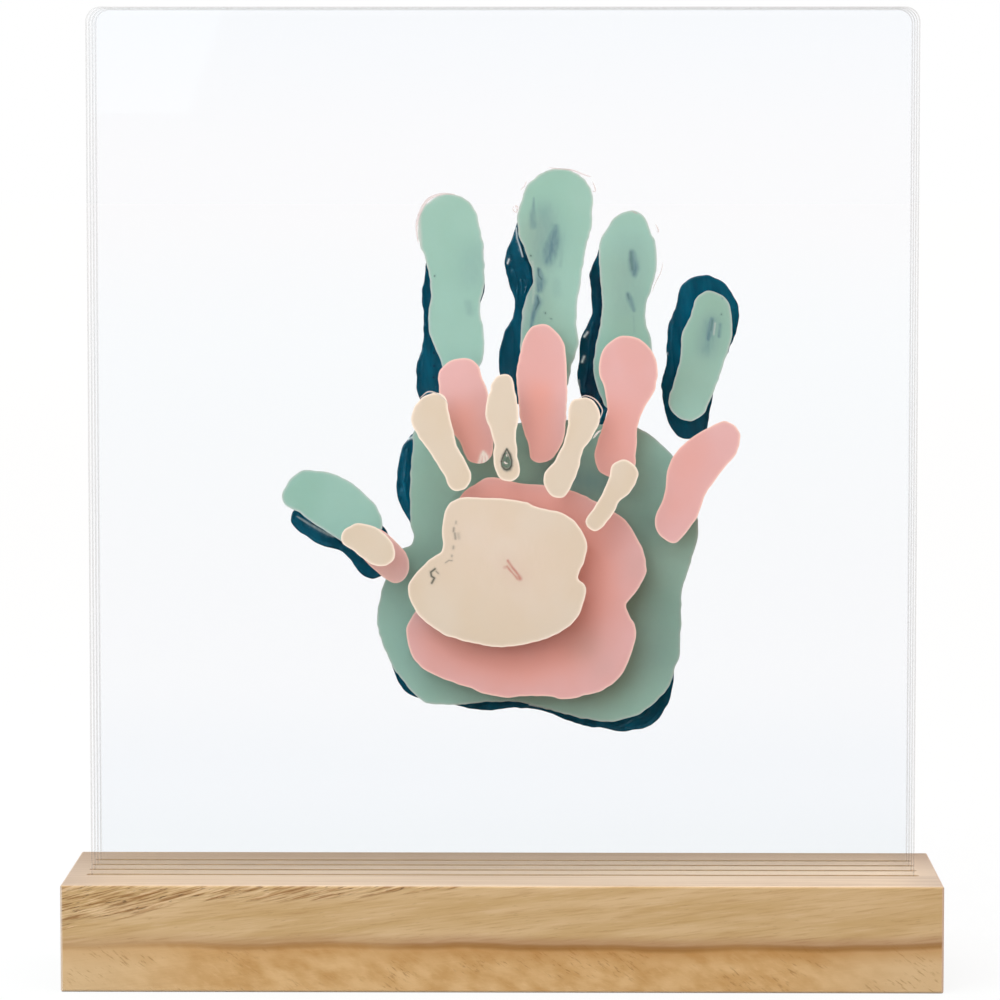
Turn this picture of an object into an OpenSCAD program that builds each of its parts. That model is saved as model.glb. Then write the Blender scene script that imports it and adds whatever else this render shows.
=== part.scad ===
// Handprint frame: a wood block with four slots, a clear plate standing in each slot,
// and one handprint in paint on each plate, with its thumb on the left seen from the front.
// The prints grow from the front plate to the third, so the row reads as a family.
// X runs along the block, Y from the front to the rear, Z up.
// The origin is the middle of the block's underside.

/* [Block] */
// Wood left below the slots
floor_wood = 15; // [8:0.5:40]
// Wood left beyond each end of the slots
end_wood = 6; // [3:0.5:30]
// Wood in front of the front slot
front_wood = 19.05; // [6:0.05:60]
// Wood behind the rear slot
rear_wood = 15.05; // [6:0.05:60]
// Radius of the eased edges
edge_r = 0.8; // [0.5:0.1:2.5]

/* [Slots] */
// How deep the slots are cut
slot_depth = 17.5; // [8:0.5:40]
// Free play in front of a plate and behind it
side_gap = 0.2; // [0.1:0.05:0.4]
// Free play past each end of a plate
end_gap = 1.5; // [1.3:0.1:5]

/* [Plates] */
// Width of a plate
plate_w = 250; // [190:1:400]
// Height of a plate, its foot in the slot included
plate_h = 280; // [250:1:420]
// Thickness of a plate
plate_t = 2; // [1.5:0.1:4]
// Radius of a plate's corners
corner_r = 4.5; // [1:0.5:15]
// Open air between two neighbouring plates
air_gap = 7.5; // [4:0.5:20]

/* [Prints] */
// Thickness of the dried paint
paint_t = 0.4; // [0.2:0.05:1]
// Length of the teal hand, from its heel to its middle fingertip
teal_len = 160; // [60:0.5:175]
// Length of the sage hand
sage_len = 169.5; // [60:0.5:175]
// Length of the pink hand
pink_len = 114.5; // [60:0.5:170]
// Length of the cream hand
cream_len = 82.5; // [50:0.5:150]
// Places of the four heels to the right of the plate's middle, from the rear plate to the front one
heel_x = [8, 8, 6, 0];
// Heights of the four heels above the plate's foot, from the rear plate to the front one
heel_rise = [58, 62, 70, 87];
// Width of the bare drop left in the cream middle finger
drop_w = 3; // [1:0.1:4]
// Height of the bare drop
drop_h = 5.8; // [4.5:0.1:9]

/* [Hidden] */
$fn = 96;
// Overrun of the cuts past the faces that they open
over = 1;
slot_w = plate_t + 2*side_gap;
slot_l = plate_w + 2*end_gap;
pitch = plate_t + air_gap;
block_w = slot_l + 2*end_wood;
block_d = front_wood + 3*pitch + slot_w + rear_wood;
block_h = floor_wood + slot_depth;
front_y = front_wood + slot_w/2 - block_d/2;
plate_y = [front_y + 3*pitch, front_y + 2*pitch, front_y + pitch, front_y];
wood = "#d8b88c";
clear = [0.93, 0.96, 0.97, 0.3];
teal = "#005066";
sage = "#93b8a4";
pink = "#dfa79e";
cream = "#e0cdb6";

// An outline is written in shares of its hand's length, from the heel: to the right, then up.
// A digit is its tip, its root, and its half widths from root to tip on its left and on its right.
// Where the first and the last half width of a digit lie, as a share of its length from each end
end_share = 0.06;
// Steps along each side of a digit
digit_steps = 24;
// Steps between two points of a palm
palm_steps = 5;

teal_palm_shares = [
    [-0.215, 0.580], [-0.125, 0.580], [-0.020, 0.580], [0.075, 0.565], [0.155, 0.555], [0.230, 0.530],
    [0.280, 0.475], [0.295, 0.405], [0.280, 0.295], [0.280, 0.200], [0.280, 0.120], [0.270, 0.060],
    [0.240, 0.015], [0.190, 0.000], [0.145, 0.005], [0.090, 0.015], [0.025, 0.040], [-0.030, 0.045],
    [-0.090, 0.040], [-0.140, 0.050], [-0.190, 0.060], [-0.230, 0.070], [-0.260, 0.110], [-0.275, 0.190],
    [-0.275, 0.270], [-0.220, 0.340], [-0.225, 0.395], [-0.250, 0.440], [-0.255, 0.500], [-0.240, 0.555]
];
teal_thumb_shares = [[-0.455, 0.425], [-0.280, 0.305],
    [0.025, 0.025, 0.015, 0.010, 0.020, 0.025, 0.025, 0.025],
    [0.060, 0.075, 0.075, 0.075, 0.075, 0.070, 0.065, 0.075]];
teal_index_shares = [[-0.145, 0.960], [-0.160, 0.610],
    [0.060, 0.060, 0.060, 0.050, 0.050, 0.055, 0.055, 0.050, 0.055],
    [0.020, 0.030, 0.025, 0.030, 0.035, 0.055, 0.065, 0.055, 0.060]];
teal_middle_shares = [[0.015, 1.010], [-0.030, 0.630],
    [0.025, 0.035, 0.040, 0.035, 0.020, 0.025, 0.045, 0.050, 0.040, 0.035],
    [0.020, 0.035, 0.040, 0.040, 0.040, 0.045, 0.055, 0.060, 0.055, 0.055]];
teal_ring_shares = [[0.175, 0.970], [0.130, 0.590],
    [0.025, 0.040, 0.050, 0.050, 0.050, 0.035, 0.040, 0.050, 0.040, 0.035],
    [0.015, 0.020, 0.025, 0.035, 0.040, 0.040, 0.055, 0.060, 0.060, 0.060]];
teal_little_shares = [[0.340, 0.880], [0.300, 0.565],
    [0.035, 0.050, 0.060, 0.055, 0.060, 0.060, 0.050, 0.055],
    [0.040, 0.040, 0.040, 0.045, 0.060, 0.070, 0.070, 0.060]];

sage_palm_shares = [
    [-0.205, 0.530], [-0.140, 0.550], [-0.045, 0.540], [0.035, 0.550], [0.120, 0.540], [0.190, 0.535],
    [0.225, 0.515], [0.260, 0.480], [0.285, 0.425], [0.305, 0.365], [0.300, 0.315], [0.285, 0.270],
    [0.275, 0.225], [0.275, 0.170], [0.270, 0.115], [0.250, 0.060], [0.210, 0.020], [0.155, 0.000],
    [0.100, 0.005], [0.040, 0.020], [-0.020, 0.035], [-0.075, 0.035], [-0.135, 0.030], [-0.190, 0.035],
    [-0.230, 0.075], [-0.255, 0.115], [-0.275, 0.175], [-0.270, 0.225], [-0.255, 0.270], [-0.235, 0.310],
    [-0.210, 0.325], [-0.215, 0.370], [-0.215, 0.440], [-0.210, 0.500]
];
sage_thumb_shares = [[-0.445, 0.420], [-0.270, 0.340],
    [0.075, 0.045, 0.040, 0.035, 0.030, 0.025, 0.025],
    [0.050, 0.050, 0.060, 0.065, 0.065, 0.065, 0.075]];
sage_index_shares = [[-0.145, 0.955], [-0.120, 0.600],
    [0.030, 0.035, 0.045, 0.055, 0.050, 0.045, 0.045, 0.050, 0.060, 0.060, 0.065],
    [0.025, 0.040, 0.045, 0.045, 0.040, 0.050, 0.055, 0.055, 0.055, 0.050, 0.045]];
sage_middle_shares = [[0.060, 1.000], [0.025, 0.585],
    [0.035, 0.045, 0.050, 0.050, 0.050, 0.035, 0.045, 0.065, 0.075, 0.070, 0.070],
    [0.045, 0.045, 0.055, 0.050, 0.045, 0.050, 0.050, 0.055, 0.060, 0.060, 0.060]];
sage_ring_shares = [[0.185, 0.925], [0.165, 0.560],
    [0.040, 0.050, 0.055, 0.050, 0.045, 0.045, 0.050, 0.055, 0.055, 0.040],
    [0.035, 0.045, 0.050, 0.050, 0.035, 0.035, 0.045, 0.050, 0.045, 0.030]];
sage_little_shares = [[0.330, 0.780], [0.285, 0.545],
    [0.045, 0.040, 0.035, 0.035, 0.040, 0.030, 0.030],
    [0.025, 0.035, 0.040, 0.045, 0.050, 0.045, 0.040]];

pink_palm_shares = [
    [-0.165, 0.545], [-0.130, 0.570], [-0.085, 0.595], [-0.025, 0.580], [0.070, 0.570], [0.140, 0.555],
    [0.190, 0.530], [0.245, 0.500], [0.285, 0.465], [0.315, 0.410], [0.330, 0.360], [0.320, 0.315],
    [0.295, 0.280], [0.275, 0.255], [0.280, 0.235], [0.300, 0.195], [0.300, 0.155], [0.285, 0.110],
    [0.260, 0.060], [0.215, 0.025], [0.165, 0.010], [0.115, 0.000], [0.045, 0.010], [-0.025, 0.005],
    [-0.085, 0.010], [-0.155, 0.035], [-0.225, 0.060], [-0.280, 0.095], [-0.310, 0.165], [-0.295, 0.220],
    [-0.265, 0.270], [-0.225, 0.365], [-0.190, 0.465]
];
pink_thumb_shares = [[-0.445, 0.450], [-0.320, 0.315],
    [0.025, 0.030, 0.035, 0.035, 0.035],
    [0.060, 0.060, 0.060, 0.055, 0.030]];
pink_index_shares = [[-0.170, 0.910], [-0.105, 0.630],
    [0.045, 0.045, 0.060, 0.070, 0.075, 0.070, 0.090],
    [0.035, 0.040, 0.045, 0.050, 0.055, 0.050, 0.050]];
pink_middle_shares = [[0.050, 1.000], [0.045, 0.630],
    [0.025, 0.040, 0.055, 0.060, 0.065, 0.055, 0.045],
    [0.050, 0.065, 0.070, 0.070, 0.070, 0.065, 0.055]];
pink_ring_shares = [[0.275, 0.970], [0.245, 0.590],
    [0.060, 0.060, 0.050, 0.040, 0.035, 0.045, 0.065, 0.065, 0.055],
    [0.060, 0.050, 0.050, 0.050, 0.060, 0.085, 0.090, 0.090, 0.090]];
pink_little_shares = [[0.560, 0.735], [0.385, 0.420],
    [0.065, 0.065, 0.070, 0.090, 0.100, 0.090, 0.070, 0.050],
    [0.025, 0.035, 0.035, 0.025, 0.030, 0.035, 0.045, 0.035]];

cream_palm_shares = [
    [-0.200, 0.525], [-0.145, 0.550], [-0.050, 0.550], [0.060, 0.540], [0.135, 0.515], [0.240, 0.485],
    [0.290, 0.430], [0.310, 0.375], [0.300, 0.315], [0.275, 0.260], [0.305, 0.225], [0.300, 0.175],
    [0.275, 0.110], [0.195, 0.045], [0.095, 0.015], [0.010, 0.000], [-0.110, 0.015], [-0.220, 0.050],
    [-0.305, 0.115], [-0.345, 0.195], [-0.330, 0.260], [-0.255, 0.330], [-0.220, 0.365], [-0.220, 0.450]
];
cream_thumb_shares = [[-0.585, 0.425], [-0.400, 0.320],
    [0.045, 0.050, 0.050, 0.040, 0.050],
    [0.050, 0.065, 0.075, 0.065, 0.060]];
cream_index_shares = [[-0.260, 0.935], [-0.150, 0.575],
    [0.040, 0.045, 0.060, 0.075, 0.095, 0.105, 0.105],
    [0.050, 0.050, 0.040, 0.030, 0.040, 0.040, 0.050]];
cream_middle_shares = [[0.010, 1.005], [0.025, 0.610],
    [0.050, 0.055, 0.050, 0.065, 0.080, 0.065, 0.055],
    [0.045, 0.035, 0.030, 0.035, 0.045, 0.035, 0.030]];
cream_ring_shares = [[0.315, 0.915], [0.195, 0.550],
    [0.065, 0.065, 0.045, 0.035, 0.040, 0.050, 0.075],
    [0.035, 0.045, 0.045, 0.040, 0.055, 0.065, 0.060]];
cream_little_shares = [[0.465, 0.685], [0.325, 0.430],
    [0.040, 0.035, 0.030, 0.030, 0.035, 0.045, 0.055],
    [0.030, 0.035, 0.040, 0.040, 0.055, 0.060, 0.070]];
// Middle of the bare drop in the cream middle finger
drop_shares = [0.015, 0.690];

// The value at u, from 0 to 1, on the smooth curve from b to c, whose neighbours are a and d
function smooth(a, b, c, d, u) =
    (2*b + (c - a)*u + (2*a - 5*b + 4*c - d)*u^2 + (3*b - a - 3*c + d)*u^3) / 2;

// The smooth value at t along the list v, where its items lie at 0, 1, 2 and so on
function curve(v, t) =
    let (last = len(v) - 1, i = min(floor(t), last - 1))
    smooth(v[max(i - 1, 0)], v[i], v[i + 1], v[min(i + 2, last)], t - i);

// A smooth closed loop through the points p
function loop(p, steps) =
    let (n = len(p))
    [for (i = [0 : n - 1], j = [0 : steps - 1])
        smooth(p[(i + n - 1) % n], p[i], p[(i + 1) % n], p[(i + 2) % n], j/steps)];

// How full a round end of radius r is at x from its outermost point
function fullness(x, r) = x < r ? sqrt(1 - (1 - x/r)^2) : 1;

// Half width of a digit at the share s of its length, from its list of half widths
function half_width(widths, s) =
    let (last = len(widths) - 1, t = last*(s - end_share)/(1 - 2*end_share))
    curve(widths, min(max(t, 0), last));

// Outline of a digit of a hand of the given length: up its left side from the tip, then back
function digit_outline(shares, hand) =
    let (
        tip = hand*shares[0],
        root = hand*shares[1],
        span = norm(tip - root),
        along = (tip - root)/span,
        side = [-along[1], along[0]]
    )
    [for (i = [0 : 2*digit_steps - 1])
        let (
            a = 180*i/digit_steps,
            s = (1 + cos(a))/2,
            widths = hand*(i < digit_steps ? shares[2] : shares[3]),
            ends = fullness(span*s, widths[0])*fullness(span*(1 - s), widths[len(widths) - 1])
        )
        root + along*span*s + side*sign(sin(a))*half_width(widths, s)*ends];

// A rectangle from [0, 0] with rounded corners
module rounded_rect(w, h, r) {
    translate([r, 0]) square([w - 2*r, h]);
    translate([0, r]) square([w, h - 2*r]);
    for (x = [r, w - r], y = [r, h - r])
        translate([x, y]) circle(r);
}

// The block before its slots are cut: its three views meet in eased edges
module eased_block() {
    intersection() {
        translate([-block_w/2, -block_d/2, 0])
            linear_extrude(block_h) rounded_rect(block_w, block_d, edge_r);
        translate([-block_w/2, block_d/2, 0]) rotate([90, 0, 0])
            linear_extrude(block_d) rounded_rect(block_w, block_h, edge_r);
        translate([-block_w/2, -block_d/2, 0]) rotate([90, 0, 90])
            linear_extrude(block_w) rounded_rect(block_d, block_h, edge_r);
    }
}

// A slot as the cutter leaves it, with round ends and a flat floor
module slot(y) {
    translate([0, y, floor_wood]) {
        translate([slot_w/2 - slot_l/2, -slot_w/2, 0])
            cube([slot_l - slot_w, slot_w, slot_depth + over]);
        for (x = [slot_w/2 - slot_l/2, slot_l/2 - slot_w/2])
            translate([x, 0, 0]) cylinder(h = slot_depth + over, d = slot_w);
    }
}

// The wood block with a slot for each plate
module block() {
    color(wood) difference() {
        eased_block();
        for (y = plate_y) slot(y);
    }
}

// A clear plate standing on its slot's floor, counted from the rear
module plate(i) {
    color(clear)
        translate([-plate_w/2, plate_y[i] + plate_t/2, floor_wood])
            rotate([90, 0, 0]) linear_extrude(plate_t) rounded_rect(plate_w, plate_h, corner_r);
}

module rear_plate() { plate(0); }
module third_plate() { plate(1); }
module second_plate() { plate(2); }
module front_plate() { plate(3); }

// Stands a flat outline up as a film of paint whose front face is at y, with its heel on plate i
module film(i, y) {
    translate([heel_x[i], y + paint_t, floor_wood + heel_rise[i]])
        rotate([90, 0, 0]) linear_extrude(paint_t) children();
}

// Paint on the front face of plate i
module front_film(i) {
    film(i, plate_y[i] - plate_t/2 - paint_t) children();
}

// Paint on the rear face of plate i
module rear_film(i) {
    film(i, plate_y[i] + plate_t/2) children();
}

// Flat outline of a palm
module palm(shares, hand) {
    polygon(loop(hand*shares, palm_steps));
}

// Flat outline of a digit
module digit(shares, hand) {
    polygon(digit_outline(shares, hand));
}

// Flat outline of the bare drop: round below, pointed above
module drop() {
    r = drop_w/2;
    rise = drop_h - r;
    lean = asin(r/rise);
    translate(cream_len*drop_shares - [0, drop_h/2 - r]) {
        circle(r);
        polygon([[0, rise], [-r*cos(lean), r*sin(lean)], [r*cos(lean), r*sin(lean)]]);
    }
}

// The teal hand lies on the front face of the rear plate, where its paint shows its relief
module teal_palm() { color(teal) front_film(0) palm(teal_palm_shares, teal_len); }
module teal_thumb() { color(teal) front_film(0) digit(teal_thumb_shares, teal_len); }
module teal_index() { color(teal) front_film(0) digit(teal_index_shares, teal_len); }
module teal_middle() { color(teal) front_film(0) digit(teal_middle_shares, teal_len); }
module teal_ring() { color(teal) front_film(0) digit(teal_ring_shares, teal_len); }
module teal_little() { color(teal) front_film(0) digit(teal_little_shares, teal_len); }

// The other hands lie on the rear faces of their plates and are seen through them
module sage_palm() { color(sage) rear_film(1) palm(sage_palm_shares, sage_len); }
module sage_thumb() { color(sage) rear_film(1) digit(sage_thumb_shares, sage_len); }
module sage_index() { color(sage) rear_film(1) digit(sage_index_shares, sage_len); }
module sage_middle() { color(sage) rear_film(1) digit(sage_middle_shares, sage_len); }
module sage_ring() { color(sage) rear_film(1) digit(sage_ring_shares, sage_len); }
module sage_little() { color(sage) rear_film(1) digit(sage_little_shares, sage_len); }

module pink_palm() { color(pink) rear_film(2) palm(pink_palm_shares, pink_len); }
module pink_thumb() { color(pink) rear_film(2) digit(pink_thumb_shares, pink_len); }
module pink_index() { color(pink) rear_film(2) digit(pink_index_shares, pink_len); }
module pink_middle() { color(pink) rear_film(2) digit(pink_middle_shares, pink_len); }
module pink_ring() { color(pink) rear_film(2) digit(pink_ring_shares, pink_len); }
module pink_little() { color(pink) rear_film(2) digit(pink_little_shares, pink_len); }

module cream_palm() { color(cream) rear_film(3) palm(cream_palm_shares, cream_len); }
module cream_thumb() { color(cream) rear_film(3) digit(cream_thumb_shares, cream_len); }
module cream_index() { color(cream) rear_film(3) digit(cream_index_shares, cream_len); }
module cream_middle() {
    color(cream) rear_film(3) difference() {
        digit(cream_middle_shares, cream_len);
        drop();
    }
}
module cream_ring() { color(cream) rear_film(3) digit(cream_ring_shares, cream_len); }
module cream_little() { color(cream) rear_film(3) digit(cream_little_shares, cream_len); }

block();
rear_plate();
third_plate();
second_plate();
front_plate();
teal_palm();
teal_thumb();
teal_index();
teal_middle();
teal_ring();
teal_little();
sage_palm();
sage_thumb();
sage_index();
sage_middle();
sage_ring();
sage_little();
pink_palm();
pink_thumb();
pink_index();
pink_middle();
pink_ring();
pink_little();
cream_palm();
cream_thumb();
cream_index();
cream_middle();
cream_ring();
cream_little();
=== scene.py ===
# %% [markdown]
# # A handprint frame
# Four clear plates stand in a slotted wood block, and each carries one handprint in paint.
# The construction comes as a fixed frame of solids, in metres, with Z up and the front at -Y.
# This lesson dresses those solids: it looks at the real finishes one by one, and says how each
# could be made. The wood keeps its solid. The plates and the paint get finer surfaces.

# %% Load the frame
import math
from collections import Counter

import bmesh
import bpy
import numpy as np
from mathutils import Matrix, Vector, geometry


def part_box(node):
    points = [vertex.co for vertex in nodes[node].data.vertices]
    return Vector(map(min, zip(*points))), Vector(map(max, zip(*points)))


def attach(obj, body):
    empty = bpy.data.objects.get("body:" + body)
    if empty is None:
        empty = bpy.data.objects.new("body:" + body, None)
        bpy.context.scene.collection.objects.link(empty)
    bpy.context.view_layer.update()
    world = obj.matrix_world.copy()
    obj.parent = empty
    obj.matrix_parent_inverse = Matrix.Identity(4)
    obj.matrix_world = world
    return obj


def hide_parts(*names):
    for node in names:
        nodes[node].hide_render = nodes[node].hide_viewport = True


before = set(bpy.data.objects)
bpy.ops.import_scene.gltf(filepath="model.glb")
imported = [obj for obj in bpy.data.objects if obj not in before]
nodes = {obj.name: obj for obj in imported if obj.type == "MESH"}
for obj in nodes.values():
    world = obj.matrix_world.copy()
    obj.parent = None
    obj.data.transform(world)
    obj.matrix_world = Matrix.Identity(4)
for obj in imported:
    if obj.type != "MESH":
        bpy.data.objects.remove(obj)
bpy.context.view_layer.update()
scene = bpy.context.scene

# %% [markdown]
# The object's sizes below are real ones, in millimetres, and one factor turns them to metres. The
# studio's are in metres already. What the frame fixes, such as where a plate stands, is read from
# its own boxes, so the two can't drift apart.

# %% Sizes
MM = 0.001
HANDS = {"teal": "rear_plate", "sage": "third_plate", "pink": "second_plate",
         "cream": "front_plate"}
PATCHES = ("palm", "thumb", "index", "middle", "ring", "little")
block_low, block_high = (np.array(corner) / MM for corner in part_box("block"))
plate_low, plate_high = (np.array(corner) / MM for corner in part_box("front_plate"))
print("block", (block_high - block_low).round(1), "plate", (plate_high - plate_low).round(1))

# %% [markdown]
# Colours are written as sRGB hex values, as on a painter's chart. A shader wants linear light,
# so one function turns them. A second one adds a node with its settings and links: with it a
# material reads like a list of what the surface does.

# %% Colours and nodes
def linear(hex_code):
    """Linear red, green and blue, and full alpha, of an sRGB hex value."""
    c = np.array([int(hex_code[i:i + 2], 16) for i in (1, 3, 5)]) / 255
    c = np.where(c <= 0.04045, c / 12.92, ((c + 0.055) / 1.055) ** 2.4)
    return (*c.tolist(), 1.0)


def add(tree, kind, inputs=(), **settings):
    """Adds one shader node. Each input, by place or by name, is set to a value, or linked to a
    socket or to another node's first live output."""
    node = tree.nodes.new("ShaderNode" + kind)
    for name, value in settings.items():
        setattr(node, name, value)
    for name, value in (inputs.items() if isinstance(inputs, dict) else enumerate(inputs)):
        if isinstance(value, bpy.types.Node):
            value = next(socket for socket in value.outputs if socket.enabled)
        if isinstance(value, bpy.types.NodeSocket):
            tree.links.new(value, node.inputs[name])
        else:
            node.inputs[name].default_value = value
    return node

# %% [markdown]
# A pattern in a solid, such as grain, is noise that is stretched and leant: each row of a table
# gives the size of its spots in millimetres, the slope of its streaks and how fine it goes.
# Laying one colour over another by such a pattern is what wood and paint do most, so that has a
# function too.

# %% Patterns and coats
SMOOTH = {"interpolation_type": "SMOOTHSTEP"}


def new_material(name):
    """An empty material, its node tree, and the place of a point on the object in millimetres."""
    made = bpy.data.materials.new(name)
    made.use_nodes = True
    tree = made.node_tree
    tree.nodes.clear()
    place = add(tree, "TexCoord").outputs["Object"]
    return made, tree, add(tree, "VectorMath", {0: place, "Scale": 1 / MM}, operation="SCALE")


def patterns(tree, place, table):
    """Noise for each row of a table: size along, across and up in mm, rise to the right in degrees,
    and detail. Each row starts 7 mm from the last, so no two patterns agree."""
    made = {}
    for row, (name, (size, rise, detail)) in enumerate(table.items()):
        lean = {"Vector": place, "Location": (7.0 * row,) * 3, "Scale": size,
                "Rotation": (0, -math.radians(rise), 0)}
        turned = add(tree, "Mapping", lean, vector_type="TEXTURE")
        made[name] = add(tree, "TexNoise", {"Vector": turned, "Scale": 1.0, "Detail": detail})
    return made


def coat(tree, under, over, value, start, end, most=1.0, zone=1.0):
    """Lays a colour over another: nothing where the value is at start, most of it where it is at
    end, and all that only in its zone."""
    share = add(tree, "MapRange", [value, start, end, 0.0, most], **SMOOTH)
    share = add(tree, "Math", [share, zone], operation="MULTIPLY")
    over = linear(over) if isinstance(over, str) else over
    return add(tree, "Mix", {0: share, 6: under, 7: over}, data_type="RGBA")


def coats(tree, under, noise, rows, zone=1.0):
    """Lays one colour after another, each by a noise pattern. A row says the colour, the pattern,
    and its start, end and most."""
    for over, kind, start, end, most in rows:
        under = coat(tree, under, over, noise[kind], start, end, most, zone)
    return under


def finish_with(tree, shader):
    """Links the last shader to the material's output."""
    add(tree, "OutputMaterial", [shader])

# %% [markdown]
# ## Camera
# A long lens, almost a metre and a half away, a little lower than the plates' tops and looking
# slightly down. From so far the four hands stack almost without getting smaller, and the block's
# top shows as a narrow strip.

# %% Camera
CAMERA_AT = (15.0, -1420.8, 259.9)
CAMERA_DOWN, CAMERA_TURN, LENS, SENSOR = 4.59, 0.64, 168.5, 36.0
camera = bpy.data.objects.new("camera", bpy.data.cameras.new("camera"))
camera.data.lens, camera.data.sensor_width = LENS, SENSOR
camera.location = Vector(CAMERA_AT) * MM
camera.rotation_euler = (math.radians(90 - CAMERA_DOWN), 0, math.radians(CAMERA_TURN))
scene.collection.objects.link(camera)
scene.camera = camera
print("camera", round(camera.location.length, 2), "m from the origin")

# %% [markdown]
# ## Light
# Clear plates show whatever stands opposite, so the studio is built round that. Behind is plain
# white, which the camera sees through the plates. In front the room is dim and cool, with a dark
# hood round the camera: that is all that shiny things mirror, so the teal stays deep. One large
# soft box to the upper left gives the soft shadows that the hands drop on each other: their offset
# tells its direction, about 35 degrees left and as much up, and their wide edges its size. The
# walls give back warmer light, most of it from the lower right, which fills those shadows. A small
# bare lamp beside the soft box is too weak to light the scene, but glints on wet-looking paint.
# The world has one colour for each kind of ray, so each can be set alone. Four plates and their
# paint are many see-through surfaces in a row, so a ray may pass more of them than usual.

# %% Lamps and surroundings
scene.view_settings.view_transform = "Standard"
scene.cycles.transparent_max_bounces = 40
AIM, LAMPS_FAR = Vector((0, 0, 0.16)), 1.9
AMBIENT, MIRRORED, HOODED = 0.92, 0.35, 0.02
HOOD_DARK, HOOD_END = 12, 32
HOOD, CARD = (0.01, -0.9965, -0.083), (0.72, -0.3, -0.62)
WALLS, WARM = (1.15, 0.955, 0.885, 1), (1.50, 0.87, 0.68, 1)
COOL, WHITE = (0.96, 1.0, 1.04, 1), (1, 1, 1, 1)


def lamp(name, left, up, size, power, colour=(1, 1, 1)):
    """A square lamp seen from the object at some degrees left and up, facing the object."""
    a, b = math.radians(left), math.radians(up)
    towards = Vector((-math.sin(a) * math.cos(b), -math.cos(a) * math.cos(b), math.sin(b)))
    light = bpy.data.lights.new(name, "AREA")
    light.size, light.energy, light.color = size, power, colour
    holder = bpy.data.objects.new(name, light)
    holder.location = AIM + LAMPS_FAR * towards
    holder.rotation_euler = (-towards).to_track_quat("-Z", "Y").to_euler()
    scene.collection.objects.link(holder)


lamp("soft box", left=34, up=34, size=2.3, power=26, colour=(0.82, 1.02, 1.10))
lamp("bare lamp", left=30, up=38, size=0.15, power=2.0)

world = bpy.data.worlds.new("studio")
scene.world = world
world.use_nodes = True
sky = world.node_tree
sky.nodes.clear()
ray = add(sky, "LightPath").outputs
looking = add(sky, "TexCoord").outputs["Generated"]
hood, card = (add(sky, "VectorMath", [looking, way], operation="DOT_PRODUCT")
              for way in (HOOD, CARD))
start, end = (math.cos(math.radians(angle)) for angle in (HOOD_DARK, HOOD_END))
dark = add(sky, "MapRange", [hood, start, end, HOODED, MIRRORED], **SMOOTH)
lit = add(sky, "Background", [coat(sky, WALLS, WARM, card, 0.1, 0.8), AMBIENT])
mirrored = add(sky, "Background", [COOL, dark])
white = add(sky, "Background", [WHITE])
seen = [ray["Is Camera Ray"], ray["Is Transmission Ray"]]
seen = add(sky, "Math", seen, operation="MAXIMUM")
around = add(sky, "MixShader", [ray["Is Glossy Ray"], lit, mirrored])
add(sky, "OutputWorld", [add(sky, "MixShader", [seen, around, white])])

# %% [markdown]
# The floor is a sheet of white paper that runs far back. It is lit mostly from below, as on a
# light table, a little more far away than near, so that it meets the white behind it without an
# edge. It keeps only a share of the object's shadow, and ends a little in front of the block, so
# the plates have no bright floor to mirror.

# %% Floor
FLOOR_WIDE, FLOOR_FRONT, FLOOR_BACK = 6.0, -0.45, 14.0
GLOW, GLOW_SPAN, PAPER = (0.98, 1.0, 1.005, 1), (300, 4000, 0.871, 0.895), (0.12, 0.12, 0.12, 1)
paper = bpy.data.meshes.new("floor")
paper.from_pydata([(-FLOOR_WIDE, FLOOR_FRONT, 0), (FLOOR_WIDE, FLOOR_FRONT, 0),
                   (FLOOR_WIDE, FLOOR_BACK, 0), (-FLOOR_WIDE, FLOOR_BACK, 0)], [], [(0, 1, 2, 3)])
floor = bpy.data.objects.new("floor", paper)
scene.collection.objects.link(floor)
finish, tree, place = new_material("white paper on a light table")
away = add(tree, "SeparateXYZ", [place]).outputs["Y"]
glow = add(tree, "MapRange", [away, *GLOW_SPAN])
seen = add(tree, "LightPath").outputs["Is Camera Ray"]
glow = add(tree, "Math", [seen, glow], operation="MULTIPLY")
glow, sheet = add(tree, "Emission", [GLOW, glow]), add(tree, "BsdfDiffuse", [PAPER])
finish_with(tree, add(tree, "AddShader", [sheet, glow]))
paper.materials.append(finish)

# %% [markdown]
# ## Wood
# The block is a pale, open-grained wood, oiled and not stained. It grew with its fibres leaning
# one way and then the other, so the front shows three zones: above, long fibres that rise to the
# right; a darker band at half height, where the growth ring meets the face; below it warmer wood,
# mottled, with short dashes that fall to the right, where the saw cut through fibres leaning the
# other way. At the upper left the fibres meet the face at a slant, and the planer has torn them
# into coarse ragged streaks.
# All of it is one solid pattern in the wood's own millimetres, as in real timber, so the top, the
# ends and the slots cut through the same grain. In the coats below, numbers beside x, y or z are
# places in mm, beside a noise they are its values, and beside a facing they are cosines.

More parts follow.
